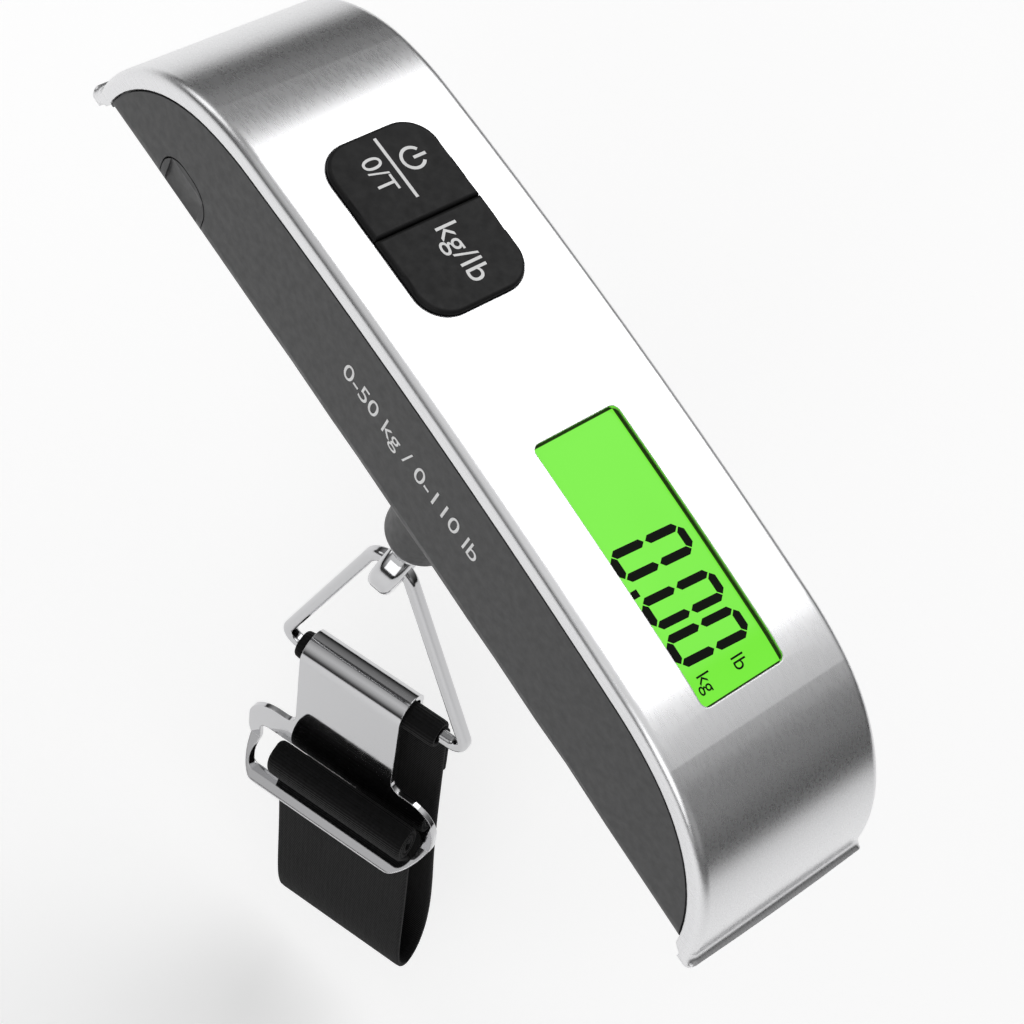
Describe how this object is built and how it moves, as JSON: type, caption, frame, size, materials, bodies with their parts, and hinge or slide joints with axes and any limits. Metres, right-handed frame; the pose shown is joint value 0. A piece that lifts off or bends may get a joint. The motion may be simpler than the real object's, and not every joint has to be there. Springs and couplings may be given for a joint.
{
  "type": "hanging luggage scale",
  "caption": "Hand-held digital hanging scale with a curved metal face, two keys, a display, a swivel eye, a triangular ring and a webbing strap with a hook plate.",
  "frame": {"origin": "under the middle of the body, level with the tips of the metal cover, on the axis of the swivel eye", "axes": "+X along the body to the display end, +Y across the body away from the printed side face, +Z out of the display face; the strap hangs towards -Z"},
  "size_m": [0.1528, 0.034, 0.1918],
  "materials": {
    "steel_cover": "satin",
    "chrome": "polished",
    "dark_housing": "matte",
    "black_plastic": "matte",
    "key_black": "soft satin",
    "inner_plastic": "matte",
    "lcd_film": "clear, lit green",
    "lcd_glass": "clear",
    "light_panel": "translucent",
    "led": "clear",
    "rubber": "matte",
    "board": "solder mask",
    "component": "matte",
    "zinc_steel": "plated",
    "load_cell": "machined",
    "brass": "machined",
    "contact": "nickel plated",
    "coin_cell": "satin",
    "wire": "insulated",
    "webbing": "woven"
  },
  "bodies": {
    "body": {"top_cover": "steel_cover", "lower_housing": "dark_housing", "housing_screws": "zinc_steel", "inner_frame": "black_plastic", "display_window": "lcd_film", "display_glass": "lcd_glass", "display_seal": "rubber", "backlight_panel": "light_panel", "backlight_leds": "led", "contact_strip": "rubber", "circuit_board": "board", "key_switches": "component", "board_screws": "zinc_steel", "processor_blob": "component", "board_components": "component", "load_cell_plate": "zinc_steel", "load_cell": "load_cell", "strain_gauges": "brass", "load_cell_screws": "zinc_steel", "plate_screws": "zinc_steel", "neck_housing": "dark_housing", "lower_bush": "brass", "upper_bush": "brass", "neck_screws": "zinc_steel", "coin_cell": "coin_cell", "battery_holder": "inner_plastic", "battery_contact_negative": "contact", "battery_contact_positive": "contact", "signal_wires": "wire", "battery_wires": "wire"},
    "power_key": {"power_key_cap": "key_black", "power_key_plunger": "inner_plastic"},
    "unit_key": {"unit_key_cap": "key_black", "unit_key_plunger": "inner_plastic"},
    "door": {"battery_door": "dark_housing"},
    "swivel": {"eye_bolt": "chrome", "eye_washer": "zinc_steel", "eye_nut": "zinc_steel"},
    "ring": {"triangle_ring": "chrome"},
    "strap": {"hook_plate": "chrome", "strap_webbing": "webbing", "strap_stopper": "webbing"}
  },
  "joints": [
    {"name": "power_key_press", "type": "slide", "parent": "body", "child": "power_key", "axis": [0, 0, -1], "range_m": [0, 0.0005], "stiffness_N_per_m": 900},
    {"name": "unit_key_press", "type": "slide", "parent": "body", "child": "unit_key", "axis": [0, 0, -1], "range_m": [0, 0.0005], "stiffness_N_per_m": 900},
    {"name": "battery_door_slide", "type": "slide", "parent": "body", "child": "door", "axis": [0, -1, 0], "range_m": [0, 0.03]},
    {"name": "eye_swivel", "type": "hinge", "parent": "body", "child": "swivel", "pos_m": [0, 0, -0.029], "axis": [0, 0, 1], "continuous": true},
    {"name": "ring_rock", "type": "hinge", "parent": "swivel", "child": "ring", "pos_m": [0, 0, -0.0415], "axis": [-0.2907, 0.9568, 0], "range_deg": [-44, 44]},
    {"name": "strap_swing", "type": "hinge", "parent": "ring", "child": "strap", "pos_m": [0.00934, 0.00284, -0.07646], "axis": [0.9216, 0.28, 0.2689], "range_deg": [-40, 40]}
  ]
}
